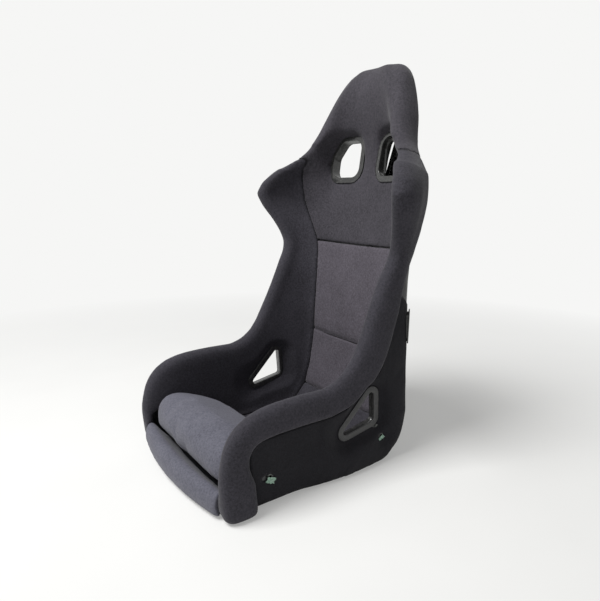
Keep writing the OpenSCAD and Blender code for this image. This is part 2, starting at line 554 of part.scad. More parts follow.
// Vents in the rear corners beside the lower back
vent_w = 22;
vent_h = 62;
vent_r = 9;
vent_u = 9.5;
vent_point = seat_point(vent_u, at_place(moved(shell_rib(vent_u), shell_t + side_cover_t), 8));
module vent_place() translate(vent_point) rotate([0, 0, 44]) rotate([0, 90, 0])
    rotate([0, 0, 90]) children();
module vent_outline(grow) hull() for (x = [-1, 1], y = [-1, 1])
    translate([x * (vent_w / 2 - vent_r), y * (vent_h / 2 - vent_r)]) circle(r = vent_r + grow, $fn = 32);
module vent_cut() translate([0, 0, -14]) linear_extrude(60) vent_outline(bezel_wall + fit_gap);
module vent_bezel_left() color([0.25, 0.25, 0.24]) vent_place() difference() {
    union() {
        translate([0, 0, 2]) linear_extrude(bezel_lip) vent_outline(8);
        translate([0, 0, -9]) linear_extrude(11) vent_outline(bezel_wall);
    }
    translate([0, 0, -10]) linear_extrude(30) vent_outline(0);
}
module vent_bezel_right() mirror([1, 0, 0]) vent_bezel_left();

// Crotch-strap slot in the seat pan, behind the leg cushion
crotch_y = 232;
crotch_flange = 8;
module crotch_place() translate([0, crotch_y - mid_y, 0]) children();
module crotch_outline(grow) hull() for (side = [-1, 1])
    translate([side * (crotch_w - crotch_l) / 2, 0]) circle(d = crotch_l + 2 * grow, $fn = 32);
module crotch_cut(clear) translate([0, 0, -1]) linear_extrude(60) crotch_outline(bezel_wall + clear);
module crotch_bezel() color([0.25, 0.25, 0.24]) crotch_place() difference() {
    union() {
        translate([0, 0, pan_top]) linear_extrude(bezel_lip) crotch_outline(crotch_flange);
        translate([0, 0, 0.5]) linear_extrude(pan_top) crotch_outline(bezel_wall);
    }
    translate([0, 0, -1]) linear_extrude(60) crotch_outline(0);
}

// Side mounts: steel plates let into the shell's inner face, with threaded bushes
bush_in = 12;
module mount_places() for (y = [mount_front, mount_front + mount_pitch])
    translate([0, y - mid_y, mount_z]) rotate([0, 90, 0]) children();
module plate_block(grow) translate([-plate_size / 2 - grow, -plate_size / 2 - grow, tub_half])
    cube([plate_size + 2 * grow, plate_size + 2 * grow, plate_t]);
module mount_plate_left() color([0.6, 0.6, 0.62]) mount_places() difference() {
    union() {
        plate_block(0);
        translate([0, 0, tub_half - bush_in]) cylinder(d = insert_d, h = cover_face - tub_half + bush_in, $fn = 48);
    }
    translate([0, 0, tub_half - bush_in - 1]) cylinder(d = insert_bore, h = 60, $fn = 48);
}
module mount_plate_right() mirror([1, 0, 0]) mount_plate_left();
module bush_hole() translate([0, 0, tub_half - 1]) cylinder(d = insert_d + 2 * fit_gap, h = 60, $fn = 48);
module bush_pocket() translate([0, 0, tub_half - bush_in - 2])
    cylinder(d = insert_d + 2 * fit_gap, h = bush_in + 3, $fn = 48);

module shell() color([0.09, 0.09, 0.1]) difference() {
    shell_tub();
    both_sides() {
        shoulder_place() slot_cut();
        lap_place() across(140, 130) lap_outline(bezel_wall + hole_clear);
        vent_place() vent_cut();
        mount_places() {
            bush_hole();
            translate([0, 0, -1]) plate_block(fit_gap);
            plate_block(fit_gap);
        }
    }
    crotch_place() crotch_cut(hole_clear);
}

shell();
pan_pad();
lumbar_pad();
back_pad();
shoulder_pad();
head_pad();
front_roll();
bolster_left();
bolster_right();
side_cover_left();
side_cover_right();
leg_cushion();
cushion_loop_strips();
pan_hook_strips();
shoulder_bezel_left();
shoulder_bezel_right();
shoulder_backing_left();
shoulder_backing_right();
lap_bezel_left();
lap_bezel_right();
lap_backing_left();
lap_backing_right();
vent_bezel_left();
vent_bezel_right();
crotch_bezel();
mount_plate_left();
mount_plate_right();
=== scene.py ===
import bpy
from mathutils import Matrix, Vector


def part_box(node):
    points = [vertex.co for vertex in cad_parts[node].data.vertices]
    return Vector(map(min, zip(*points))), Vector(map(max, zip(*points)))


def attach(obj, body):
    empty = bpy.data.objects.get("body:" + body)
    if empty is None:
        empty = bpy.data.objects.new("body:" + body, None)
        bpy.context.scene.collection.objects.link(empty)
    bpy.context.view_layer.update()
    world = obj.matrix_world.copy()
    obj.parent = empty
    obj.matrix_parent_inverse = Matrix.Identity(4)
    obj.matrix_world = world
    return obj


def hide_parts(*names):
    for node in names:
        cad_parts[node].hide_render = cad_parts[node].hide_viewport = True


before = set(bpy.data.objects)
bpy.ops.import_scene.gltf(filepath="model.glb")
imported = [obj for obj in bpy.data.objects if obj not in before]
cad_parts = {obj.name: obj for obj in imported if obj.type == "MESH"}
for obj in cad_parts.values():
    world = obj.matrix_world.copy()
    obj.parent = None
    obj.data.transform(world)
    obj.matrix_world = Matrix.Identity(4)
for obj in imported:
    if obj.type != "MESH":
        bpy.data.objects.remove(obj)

"""Dresses the racing bucket seat.

Sewn foam covers, the laminate shell, harness trim, side inserts and the loose leg cushion.
"""

import logging
import math
from collections.abc import Callable
from dataclasses import dataclass, field
from enum import Enum

import bmesh
import bpy
from mathutils import Matrix, Vector, noise
from mathutils.bvhtree import BVHTree

LOG = logging.getLogger("racing_seat")
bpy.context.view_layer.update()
MM = 0.001
# Edges of a moulding: faces this flat are one face, corners this sharp are eased or stay crisp
FLAT_DEG = 0.5
EASED_DEG = 40.0
CRISP_DEG = 25.0


def linear(code: str) -> tuple[float, float, float, float]:
    """Turn an sRGB hex colour into linear light.

    Args:
        code: Six hex digits, with or without a leading hash.

    Returns:
        Linear red, green, blue and an alpha of 1.
    """
    digits = code.lstrip("#")
    parts = [int(digits[i:i + 2], 16) / 255 for i in (0, 2, 4)]
    return (*[c / 12.92 if c <= 0.04045 else ((c + 0.055) / 1.055) ** 2.4 for c in parts], 1.0)


def add_node(tree: bpy.types.NodeTree, kind: str, values: dict | None = None,
             links: dict | None = None, **settings: object) -> bpy.types.Node:
    """Add a shader node with its settings, its unlinked values and its incoming links.

    Args:
        tree: Node tree that takes the node.
        kind: Blender's identifier of the node.
        values: Input name or number to value.
        links: Input name or number to the output that feeds it.
        **settings: Properties of the node itself.

    Returns:
        The new node.
    """
    made = tree.nodes.new(kind)
    for name, value in settings.items():
        setattr(made, name, value)
    for name, value in (values or {}).items():
        made.inputs[name].default_value = value
    for name, output in (links or {}).items():
        tree.links.new(output, made.inputs[name])
    return made


class Weave(Enum):
    """How the cloth's surface is finished, as the width of its yarn or nap in millimetres."""

    BRUSHED = 2.0
    FLAT = 1.5


@dataclass(frozen=True)
class Finish:
    """A material worked out from what the real one is and how its surface was made."""

    name: str

    def surface(self, tree: bpy.types.NodeTree, place: bpy.types.NodeSocket) -> bpy.types.Node:
        """Add the nodes of the surface.

        Args:
            tree: Node tree of the material.
            place: Object coordinates, in metres.

        Returns:
            The shader.
        """
        raise NotImplementedError

    def material(self) -> bpy.types.Material:
        """Make the material.

        Returns:
            The material.
        """
        made = bpy.data.materials.new(self.name)
        made.use_nodes = True
        tree = made.node_tree
        tree.nodes.clear()
        place = add_node(tree, "ShaderNodeTexCoord").outputs["Object"]
        shader = self.surface(tree, place)
        add_node(tree, "ShaderNodeOutputMaterial", {}, {"Surface": shader.outputs[0]})
        return made


@dataclass(frozen=True)
class KnitCloth(Finish):
    """Brushed polyester knit laminated to thin foam: matt, slightly napped, faintly mottled."""

    deep: str
    light: str
    weave: Weave = Weave.BRUSHED
    nap: float = 0.1
    creases: float = 0.0
    coarser: float = 2.2

    def surface(self, tree: bpy.types.NodeTree, place: bpy.types.NodeSocket) -> bpy.types.Node:
        """Add the nodes of the cloth.

        Args:
            tree: Node tree of the material.
            place: Object coordinates, in metres.

        Returns:
            The shader.
        """
        # Yarn loops are about a millimetre across, and are drawn coarser so that they show
        loops = add_node(tree, "ShaderNodeTexNoise",
                         {"Scale": 1000 / self.weave.value / self.coarser, "Detail": 4.0,
                          "Roughness": 0.75}, {"Vector": place})
        # Nap lies one way or another in patches of about 60 mm
        patches = add_node(tree, "ShaderNodeTexNoise", {"Scale": 14.0, "Detail": 3.0},
                           {"Vector": place})
        # Loose fibres show as pale specks, drawn coarser than they are so that they show
        specks = add_node(tree, "ShaderNodeTexVoronoi", {"Scale": 190.0}, {"Vector": place})
        speck = add_node(tree, "ShaderNodeMapRange",
                         {"From Min": 0.05, "From Max": 0.16, "To Min": 0.35, "To Max": 0.0},
                         {"Value": specks.outputs["Distance"]})
        tone = add_node(tree, "ShaderNodeMath", {1: 0.95}, {0: loops.outputs["Fac"]},
                        operation="MULTIPLY")
        tone = add_node(tree, "ShaderNodeMath", {1: 0.25, 2: 0.0},
                        {0: patches.outputs["Fac"], 2: tone.outputs[0]}, operation="MULTIPLY_ADD")
        tone = add_node(tree, "ShaderNodeMath", {}, {0: tone.outputs[0], 1: speck.outputs[0]},
                        operation="ADD")
        colour = add_node(tree, "ShaderNodeValToRGB", {}, {"Fac": tone.outputs[0]})
        stops = ((self.deep, 0.28), (self.light, 0.92))
        for stop, (code, at) in zip(colour.color_ramp.elements, stops):
            stop.color, stop.position = linear(code), at
        # The thread line of a seam lies in shadow, and the cloth puckers beside it
        line = add_node(tree, "ShaderNodeAttribute", attribute_name="seam").outputs["Fac"]
        shade = add_node(tree, "ShaderNodeMath", {1: 0.85}, {0: line}, operation="MULTIPLY")
        colour = add_node(tree, "ShaderNodeMixRGB", {"Color2": (0.002, 0.002, 0.003, 1)},
                          {"Fac": shade.outputs[0], "Color1": colour.outputs["Color"]})
        relief = add_node(tree, "ShaderNodeBump", {"Strength": 0.5, "Distance": 0.0012},
                          {"Height": loops.outputs["Fac"]})
        pulls = add_node(tree, "ShaderNodeAttribute", attribute_name="pull").outputs["Fac"]
        pucker = add_node(tree, "ShaderNodeTexNoise",
                          {"Scale": 55.0, "Detail": 2.0, "Distortion": 0.8}, {"Vector": place})
        pucker = add_node(tree, "ShaderNodeMath", {}, {0: pucker.outputs["Fac"], 1: pulls},
                          operation="MULTIPLY")
        relief = add_node(tree, "ShaderNodeBump", {"Strength": 0.6, "Distance": 0.006},
                          {"Height": pucker.outputs[0], "Normal": relief.outputs["Normal"]})
        normal = relief.outputs["Normal"]
        if self.creases:
            # Soft pulls in the cloth, some 40 mm apart, where it is stretched over corners
            pulls = add_node(tree, "ShaderNodeTexNoise",
                             {"Scale": 9.0, "Detail": 2.0, "Distortion": 1.4}, {"Vector": place})
            normal = add_node(tree, "ShaderNodeBump", {"Strength": self.creases, "Distance": 0.02},
                              {"Height": pulls.outputs["Fac"], "Normal": normal}).outputs["Normal"]
        return add_node(tree, "ShaderNodeBsdfPrincipled",
                        {"Roughness": 0.92, "Specular IOR Level": 0.25,
                         "Sheen Weight": self.nap, "Sheen Roughness": 0.45},
                        {"Base Color": colour.outputs[0], "Normal": normal})


@dataclass(frozen=True)
class MouldedPlastic(Finish):
    """Injection-moulded ABS: an even gloss with faint flow marks and fine scuffs."""

    base: str
    scuff: str
    roughness: float = 0.28
    grain_mm: float = 6.0

    def surface(self, tree: bpy.types.NodeTree, place: bpy.types.NodeSocket) -> bpy.types.Node:
        """Add the nodes of the plastic.

        Args:
            tree: Node tree of the material.
            place: Object coordinates, in metres.

        Returns:
            The shader.
        """
        marks = add_node(tree, "ShaderNodeTexNoise",
                         {"Scale": 1000 / self.grain_mm, "Detail": 5.0, "Roughness": 0.6},
                         {"Vector": place})
        colour = add_node(tree, "ShaderNodeValToRGB", {}, {"Fac": marks.outputs["Fac"]})
        stops = ((self.base, 0.45), (self.scuff, 0.8))
        for stop, (code, at) in zip(colour.color_ramp.elements, stops):
            stop.color, stop.position = linear(code), at
        gloss = add_node(tree, "ShaderNodeMapRange",
                         {"To Min": self.roughness * 0.8, "To Max": self.roughness * 1.4},
                         {"Value": marks.outputs["Fac"]})
        relief = add_node(tree, "ShaderNodeBump", {"Strength": 0.08, "Distance": 0.0006},
                          {"Height": marks.outputs["Fac"]})
        return add_node(tree, "ShaderNodeBsdfPrincipled", {"IOR": 1.53},
                        {"Base Color": colour.outputs["Color"],
                         "Roughness": gloss.outputs[0], "Normal": relief.outputs["Normal"]})


@dataclass(frozen=True)
class GlassLaminate(Finish):
    """Hand-laid glass fibre in black polyester: chopped strands under a satin resin skin."""

    resin: str
    strand: str

    def surface(self, tree: bpy.types.NodeTree, place: bpy.types.NodeSocket) -> bpy.types.Node:
        """Add the nodes of the laminate.

        Args:
            tree: Node tree of the material.
            place: Object coordinates, in metres.

        Returns:
            The shader.
        """
        # Strands are about 8 mm wide bundles crossing at all angles
        wander = add_node(tree, "ShaderNodeTexNoise", {"Scale": 22.0, "Detail": 2.0},
                          {"Vector": place})
        bent = add_node(tree, "ShaderNodeMixRGB", {"Fac": 0.12},
                        {"Color1": place, "Color2": wander.outputs["Color"]})
        strands = add_node(tree, "ShaderNodeTexVoronoi", {"Scale": 120.0},
                           {"Vector": bent.outputs[0]}, feature="DISTANCE_TO_EDGE")
        colour = add_node(tree, "ShaderNodeValToRGB", {}, {"Fac": strands.outputs["Distance"]})
        stops = ((self.strand, 0.0), (self.resin, 0.16))
        for stop, (code, at) in zip(colour.color_ramp.elements, stops):
            stop.color, stop.position = linear(code), at
        gloss = add_node(tree, "ShaderNodeMapRange", {"To Min": 0.3, "To Max": 0.5},
                         {"Value": wander.outputs["Fac"]})
        relief = add_node(tree, "ShaderNodeBump", {"Strength": 0.3, "Distance": 0.0008},
                          {"Height": strands.outputs["Distance"]})
        return add_node(tree, "ShaderNodeBsdfPrincipled",
                        {"IOR": 1.55, "Coat Weight": 0.25, "Coat Roughness": 0.2},
                        {"Base Color": colour.outputs["Color"],
                         "Roughness": gloss.outputs[0], "Normal": relief.outputs["Normal"]})


@dataclass(frozen=True)
class TurnedSteel(Finish):
    """Blackened turned steel: dull and stained, with fine tool marks round the bore."""

    bright: str
    dull: str

    def surface(self, tree: bpy.types.NodeTree, place: bpy.types.NodeSocket) -> bpy.types.Node:
        """Add the nodes of the steel.

        Args:
            tree: Node tree of the material.
            place: Object coordinates, in metres.

        Returns:
            The shader.
        """
        # Tool marks are drawn 0.8 mm apart so that they show
        marks = add_node(tree, "ShaderNodeTexNoise", {"Scale": 900.0, "Detail": 2.0},
                         {"Vector": place})
        stain = add_node(tree, "ShaderNodeTexNoise", {"Scale": 130.0, "Detail": 4.0},
                         {"Vector": place})
        colour = add_node(tree, "ShaderNodeValToRGB", {}, {"Fac": stain.outputs["Fac"]})
        stops = ((self.dull, 0.35), (self.bright, 0.6))
        for stop, (code, at) in zip(colour.color_ramp.elements, stops):
            stop.color, stop.position = linear(code), at
        gloss = add_node(tree, "ShaderNodeMapRange", {"To Min": 0.25, "To Max": 0.45},
                         {"Value": marks.outputs["Fac"]})
        return add_node(tree, "ShaderNodeBsdfPrincipled", {"Metallic": 1.0},
                        {"Base Color": colour.outputs["Color"], "Roughness": gloss.outputs[0]})


class Finishes:
    """Every finish of the seat, made once."""

    def __init__(self) -> None:
        """Make the materials."""
        self.panel = KnitCloth("panel_knit_cloth", "#2B282D", "#67626B").material()
        # The upper cloth is the panel's knit painted darker: painted shade over the shoulders and
        # head
        self.upper = KnitCloth("upper_knit_cloth_painted_shade", "#1D1C20", "#4E4B52").material()
        # The bolster cloth is the panel's knit painted darker: painted shade on the side rolls
        self.bolster = KnitCloth("bolster_knit_cloth_painted_shade", "#19181C", "#48464E").material()
        self.cushion = KnitCloth("cushion_knit_cloth", "#3B3B45", "#74747F").material()
        # The side cloth is a flat knit painted darker still: its flat weave is its own, its dark
        # tone is painted shade on the outer sides
        self.side = KnitCloth("side_knit_cloth_painted_shade", "#0F0F12", "#28272C", Weave.FLAT, 0.05,
                              0.35).material()
        self.bezel = MouldedPlastic("bezel_moulded_abs", "#2F2F2F", "#4A4A48", 0.14).material()
        self.backing = MouldedPlastic("backing_moulded_abs", "#2F2F30", "#464646", 0.3).material()
        self.laminate = GlassLaminate("shell_glass_laminate", "#101012", "#26272A").material()
        self.steel = TurnedSteel("insert_blackened_steel", "#5A5B5A", "#2C2D2D").material()
        self.tape = KnitCloth("hook_tape", "#0B0B0C", "#2A2A2C", Weave.FLAT, 0.0).material()
        self.scrap = MouldedPlastic("masking_film", "#7FA28F", "#C3D3C8", 0.5, 3.0).material()


def node_copy(name: str, *nodes: str) -> bpy.types.Object:
    """Copy CAD nodes into one new object with their doubled corners merged.

    Args:
        name: Name of the new piece.
        *nodes: Names of the CAD nodes.

    Returns:
        The new object, linked to the scene.
    """
    shape = bmesh.new()
    for node in nodes:
        shape.from_mesh(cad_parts[node].data)
    bmesh.ops.remove_doubles(shape, verts=shape.verts, dist=0.00001)
    return bank(name, shape)


def bank(name: str, shape: bmesh.types.BMesh) -> bpy.types.Object:
    """Turn a bmesh into an object of the scene.

    Args:
        name: Name of the new piece.
        shape: The bmesh, which is freed.

    Returns:
        The new object.
    """
    mesh = bpy.data.meshes.new(name)
    shape.to_mesh(mesh)
    shape.free()
    made = bpy.data.objects.new(name, mesh)
    bpy.context.scene.collection.objects.link(made)
    return made


def bake_modifiers(piece: bpy.types.Object) -> None:
    """Apply every modifier of a piece to its mesh.

    Args:
        piece: The piece.
    """
    graph = bpy.context.evaluated_depsgraph_get()
    mesh = bpy.data.meshes.new_from_object(piece.evaluated_get(graph))
    piece.modifiers.clear()
    old = piece.data
    piece.data = mesh
    mesh.name = piece.name
    bpy.data.meshes.remove(old)


def voxel_remesh(piece: bpy.types.Object, size: float) -> None:
    """Rebuild a piece as an even closed skin.

    Args:
        piece: The piece.
        size: Edge of a voxel in metres.
    """
    skin = piece.modifiers.new("skin", "REMESH")
    skin.mode = "VOXEL"
    skin.voxel_size = size
    skin.use_smooth_shade = True
    bake_modifiers(piece)


def relax(piece: bpy.types.Object, rounds: int,
          keep: Callable[[Vector], bool] | None = None) -> None:
    """Smooth the corners of a piece.

    Args:
        piece: The piece.
        rounds: How many passes are made.
        keep: Function of a corner's place that is true where it may move, or None for all.
    """
    shape = bmesh.new()
    shape.from_mesh(piece.data)
    loose = [v for v in shape.verts if keep is None or keep(v.co)]
    for _ in range(rounds):
        bmesh.ops.smooth_vert(shape, verts=loose, factor=0.5, use_axis_x=True, use_axis_y=True,
                              use_axis_z=True)
    shape.to_mesh(piece.data)
    shape.free()


def inflate(piece: bpy.types.Object, cap: float, pressure: float = 4.0, stiffness: float = 12.0,
            frames: int = 20) -> None:
    """Fill a closed skin with air by a short cloth run, and cap how far a point may move.

    Args:
        piece: The piece.
        cap: Largest movement in metres.
        pressure: Pressure inside.
        stiffness: How hard the cloth resists stretch.
        frames: Length of the run.
    """
    rest = [v.co.copy() for v in piece.data.vertices]
    scene = bpy.context.scene
    air = piece.modifiers.new("air", "CLOTH")
    air.settings.use_pressure = True
    air.settings.uniform_pressure_force = pressure
    air.settings.tension_stiffness = air.settings.compression_stiffness = stiffness
    air.settings.effector_weights.gravity = 0.0
    air.point_cache.frame_end = frames
    for step in range(1, frames + 1):
        scene.frame_set(step)
    bake_modifiers(piece)
    scene.frame_set(1)
    for v, old in zip(piece.data.vertices, rest):
        move = v.co - old
        if move.length > cap:
            v.co = old + move * (cap / move.length)


def smooth(low: float, high: float, value: float) -> float:
    """Rise smoothly from 0 at one value to 1 at another.

    Args:
        low: Where the rise starts.
        high: Where it ends.
        value: The value.

    Returns:
        A share from 0 to 1.
    """
    f = max(0.0, min(1.0, (value - low) / (high - low)))
    return f * f * (3 - 2 * f)


@dataclass(frozen=True)
class HipPress:
    """The dent round a lap slot, where pad, laminate and side cloth are pressed together.

    The slot's corners are places along the seat and up, and all values are in metres.
    """

    corners: tuple[tuple[float, float], ...] = ((0.0865, 0.1695), (0.0883, 0.114), (0.0175, 0.101))
    flange: float = 0.022
    middle: float = 0.204
    half: float = 0.018
    depth: float = 0.012
    reach: float = 0.024
    front_reach: float = 0.03
    front: tuple[float, float] = (0.03, -0.04)
    roll_foot: tuple[float, float] = (0.195, 0.22)
    # Nothing outside this stretch is near a lap slot
    inner_x: float = 0.12
    span_y: tuple[float, float] = (-0.1, 0.16)
    top_z: float = 0.23

    def away(self, y: float, z: float) -> float:
        """Distance outside the flanges' outline.

        Args:
            y: Place along the seat.
            z: Height.

        Returns:
            The distance, 0 inside.
        """
        place, inside, best = Vector((y, z)), True, 1.0
        for a, b in zip(self.corners, self.corners[1:] + self.corners[:1]):
            start, edge = Vector(a), Vector(b) - Vector(a)
            f = max(0.0, min(1.0, (place - start).dot(edge) / edge.length_squared))
            best = min(best, (place - start - edge * f).length)
            inside = inside and edge.cross(place - start) < 0
        return 0.0 if inside else max(0.0, best - self.flange)

    def pressed(self, place: Vector) -> Vector:
        """Where a place of the seat lies once it is pressed.

        Args:
            place: The place before.

        Returns:
            The place after.
        """
        rear, fore = self.span_y[1], self.span_y[0]
        if abs(place.x) < self.inner_x or not (fore < place.y < rear and place.z < self.top_z):
            return place
        reach = self.reach + self.front_reach * smooth(*self.front, place.y)
        share = 1 - smooth(0.0, reach, self.away(place.y, place.z))
        share *= 1 - smooth(*self.roll_foot, place.z)
        side = 1 if place.x > 0 else -1
        off = max(-1.0, min(1.0, (abs(place.x) - self.middle) / self.half))
        return Vector((place.x - side * off * share * self.depth, place.y, place.z))

    def press(self, piece: bpy.types.Object) -> None:
        """Press every corner of a piece.

        Args:
            piece: The piece.
        """
        for v in piece.data.vertices:
            v.co = self.pressed(v.co)
        piece.data.update()


def refine(shape: bmesh.types.BMesh, limits: tuple[float, ...],
           near: Callable[[Vector], bool] | None = None) -> None:
    """Split long edges, so that a flat faceted skin can be bent.

    Args:
        shape: The skin.
        limits: Longest edge allowed after each pass, in metres.
        near: Function of a place that is true where edges are split, or None for everywhere.
    """
    for limit in limits:
        long = [e for e in shape.edges if e.calc_length() > limit
                and (near is None or near((e.verts[0].co + e.verts[1].co) / 2))]
        bmesh.ops.subdivide_edges(shape, cuts=1, use_grid_fill=False, edges=long)
        bmesh.ops.triangulate(shape, faces=[f for f in shape.faces if len(f.verts) > 3])


def dress(piece: bpy.types.Object, body: str, material: bpy.types.Material, slot: str,
          *nodes: str) -> bpy.types.Object:
    """Give a piece its finish, its body and the CAD nodes that it stands for.

    Args:
        piece: The piece.
        body: Body that carries it.
        material: Its finish.
        slot: Material slot of the record; not used.
        *nodes: CAD nodes that it replaces.

    Returns:
        The same piece.
    """
    piece.data.materials.clear()
    piece.data.materials.append(material)
    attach(piece, body)
    if nodes:
        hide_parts(*nodes)
    LOG.info("%s: %d faces on %s", piece.name, len(piece.data.polygons), body)
    return piece


@dataclass
class Cover:
    """One sewn cover and the foam under it."""

    name: str
    nodes: tuple[str, ...]
    slot: str
    rounds: int = 4
    fill: float = 0.8


@dataclass
class Upholstery:
    """The foam pads glued to the shell, each in its sewn cover."""

    finishes: Finishes
    covers: tuple[Cover, ...] = (
        Cover("lower_back_cover", ("lumbar_pad",), "panel_cloth"),
        Cover("back_cover", ("back_pad",), "panel_cloth"),
        Cover("pan_cover", ("pan_pad",), "bolster_cloth", 3),
        Cover("side_bolster_left", ("bolster_left",), "bolster_cloth", 6),
        Cover("side_bolster_right", ("bolster_right",), "bolster_cloth", 6),
        Cover("front_lip_cover", ("front_roll",), "cushion_cloth", 6),
        # One piece of cloth runs from the shoulders over the head
        Cover("upper_back_and_head_cover", ("shoulder_pad", "head_pad"), "head_cloth"),
    )
    voxel_mm: float = 4.0
    # The skin that all covers share is a little coarser, and is faired most at the neck
    skin_voxel_mm: float = 4.5
    skin_rounds: int = 12
    neck_rounds: int = 45
    # A seam is sunk this far, over this half width, with painted shade along its thread line and
    # puckers beside it
    seam_mm: float = 4.0
    dip_mm: float = 4.5
    seam_shade_mm: float = 2.4
    pucker_mm: float = 14.0
    # A cover follows the skin where the skin is this near, and nearer the neck further
    hold_mm: float = 9.0
    neck_hold_mm: float = 12.0
    # Faces turned away from the skin stay where they are, except at the neck
    facing: tuple[float, float] = (0.1, 0.5)
    neck_facing: tuple[float, float] = (0.5, 0.4)
    neck_shallower: float = 0.7
    # The neck's line in the side view: a point on it and its normal, in metres
    neck: tuple[float, float] = (0.1676, 0.664)
    neck_normal: tuple[float, float] = (0.22, 0.975)
    neck_fair: float = 0.032
    neck_fade: tuple[float, float] = (0.015, 0.035)

    @property
    def pads(self) -> list[str]:
        """Names of every glued pad."""
        return [node for cover in self.covers for node in cover.nodes]

    def finish_for(self, slot: str) -> bpy.types.Material:
        """Finish of a slot of the record.

        Args:
            slot: Name of the slot.

        Returns:
            The material.
        """
        return {"panel_cloth": self.finishes.panel, "head_cloth": self.finishes.upper,
                "bolster_cloth": self.finishes.bolster,
                "cushion_cloth": self.finishes.cushion}[slot]

    def near_neck(self, place: Vector) -> bool:
        """Tell whether a place is near the plane between the upper back and the head.

        Args:
            place: The place.

        Returns:
            True where it is.
        """
        return self.from_neck(place) < self.neck_fair

    def from_neck(self, place: Vector) -> float:
        """Distance of a place from the plane between the upper back and the head.

        Args:
            place: The place.

        Returns:
            The distance in metres.
        """
        return abs((place.y - self.neck[0]) * self.neck_normal[0]
                   + (place.z - self.neck[1]) * self.neck_normal[1])

    def fair_skin(self) -> BVHTree:
        """Make one fair skin over all the glued pads, as cloth and foam run on under a seam.

        Returns:
            Search tree of the skin.
        """
        whole = node_copy("fair_skin", *self.pads)
        voxel_remesh(whole, self.skin_voxel_mm * MM)
        relax(whole, self.skin_rounds)
        relax(whole, self.neck_rounds, self.near_neck)
        shape = bmesh.new()
        shape.from_mesh(whole.data)
        tree = BVHTree.FromBMesh(shape)
        shape.free()
        bpy.data.objects.remove(whole)
        return tree

    def pad_tree(self, *nodes: str) -> BVHTree:
        """Make a search tree of CAD pads.

        Args:
            *nodes: Their names.

        Returns:
            The tree.
        """
        shape = bmesh.new()
        for node in nodes:
            shape.from_mesh(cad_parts[node].data)
        tree = BVHTree.FromBMesh(shape)
        shape.free()
        return tree

    def build_cover(self, cover: Cover, skin: BVHTree) -> bpy.types.Object:
        """Make one cover: it follows the fair skin and dips to a sewn line at its neighbours.

        Args:
            cover: What to make.
            skin: The skin that all covers share.

        Returns:
            The piece.
        """
        piece = node_copy(cover.name, *cover.nodes)
        voxel_remesh(piece, self.voxel_mm * MM)
        relax(piece, cover.rounds)
        others = self.pad_tree(*(n for n in self.pads if n not in cover.nodes))
        mesh = piece.data
        seam = mesh.attributes.new("seam", "FLOAT", "POINT")
        pull = mesh.attributes.new("pull", "FLOAT", "POINT")
        moved = []
        for v in mesh.vertices:
            near, out, _, gap = skin.find_nearest(v.co)
            edge = others.find_nearest(v.co)[3] / MM
            # The ends at the neck are drawn up to the skin, so that no gap stays between them
            neck = 1 - smooth(*self.neck_fade, self.from_neck(v.co))
            reach = (self.hold_mm + self.neck_hold_mm * neck) * MM
            low, high = (at - less * neck for at, less in zip(self.facing, self.neck_facing))
            share = (smooth(low, high, v.normal.dot(out))
                     * (1 - smooth(0.8 * reach, 1.2 * reach, gap)))
            depth = self.seam_mm * (1 - self.neck_shallower * neck) * MM
            sink = depth * math.exp(-(edge / self.dip_mm) ** 2)
            moved.append(v.co.lerp(near - out * sink, share))
            # The seam attribute carries the painted shade that darkens the cloth along the thread
            # line
            seam.data[v.index].value = math.exp(-(edge / self.seam_shade_mm) ** 2)
            pull.data[v.index].value = math.exp(-edge / self.pucker_mm)
        for v, place in zip(mesh.vertices, moved):
            v.co = HipPress().pressed(place)
        mesh.update()
        return dress(piece, "seat", self.finish_for(cover.slot), cover.slot, *cover.nodes)

    def build(self) -> list[bpy.types.Object]:
        """Make every cover.

        Returns:
            The pieces.
        """
        skin = self.fair_skin()
        made = [self.build_cover(c, skin) for c in self.covers]
        return made


@dataclass
class LegCushion:
    """The loose leg cushion with its loop tapes underneath."""

    finishes: Finishes
    voxel_mm: float = 5.0
    swell_mm: float = 6.0
    rounds_before: int = 8
    rounds_after: int = 2
    tape_edge_mm: float = 0.2

    def build(self) -> bpy.types.Object:
        """Make the cushion.

        Returns:
            The piece.
        """
        piece = node_copy("leg_cushion_cover", "leg_cushion")
        voxel_remesh(piece, self.voxel_mm * MM)
        relax(piece, self.rounds_before)
        inflate(piece, self.swell_mm * MM)
        relax(piece, self.rounds_after)
        # The swollen skin is held by the bolsters, the lip and the pan
        low, high = (Vector(c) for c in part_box("leg_cushion"))
        for v in piece.data.vertices:
            v.co.x = max(-high.x, min(high.x, v.co.x))
            v.co.y = max(low.y, min(high.y, v.co.y))
            v.co.z = max(low.z, v.co.z)
        dress(piece, "cushion", self.finishes.cushion, "cushion_cloth", "leg_cushion")
        tape = eased_copy("cushion_loop_tapes", self.tape_edge_mm, "cushion_loop_strips")
        dress(tape, "cushion", self.finishes.tape, "hook_and_loop", "cushion_loop_strips")
        return piece


def eased_copy(name: str, edge_mm: float, *nodes: str) -> bpy.types.Object:
    """Copy rigid CAD nodes with their sharp edges eased, as a moulding or casting has them.

    Args:
        name: Name of the piece.
        edge_mm: Width of the eased edge.
        *nodes: CAD nodes that are copied.

    Returns:
        The new object.
    """
    piece = node_copy(name, *nodes)
    shape = bmesh.new()
    shape.from_mesh(piece.data)
    bmesh.ops.dissolve_limit(shape, angle_limit=math.radians(FLAT_DEG), verts=shape.verts,
                             edges=shape.edges)
    shape.to_mesh(piece.data)
    shape.free()
    ease = piece.modifiers.new("ease", "BEVEL")
    ease.width = edge_mm * MM
    ease.segments = 3
    ease.limit_method = "ANGLE"
    ease.angle_limit = math.radians(EASED_DEG)
    ease.use_clamp_overlap = True
    bake_modifiers(piece)
    piece.data.shade_smooth()
    piece.data.set_sharp_from_angle(angle=math.radians(CRISP_DEG))
    return piece


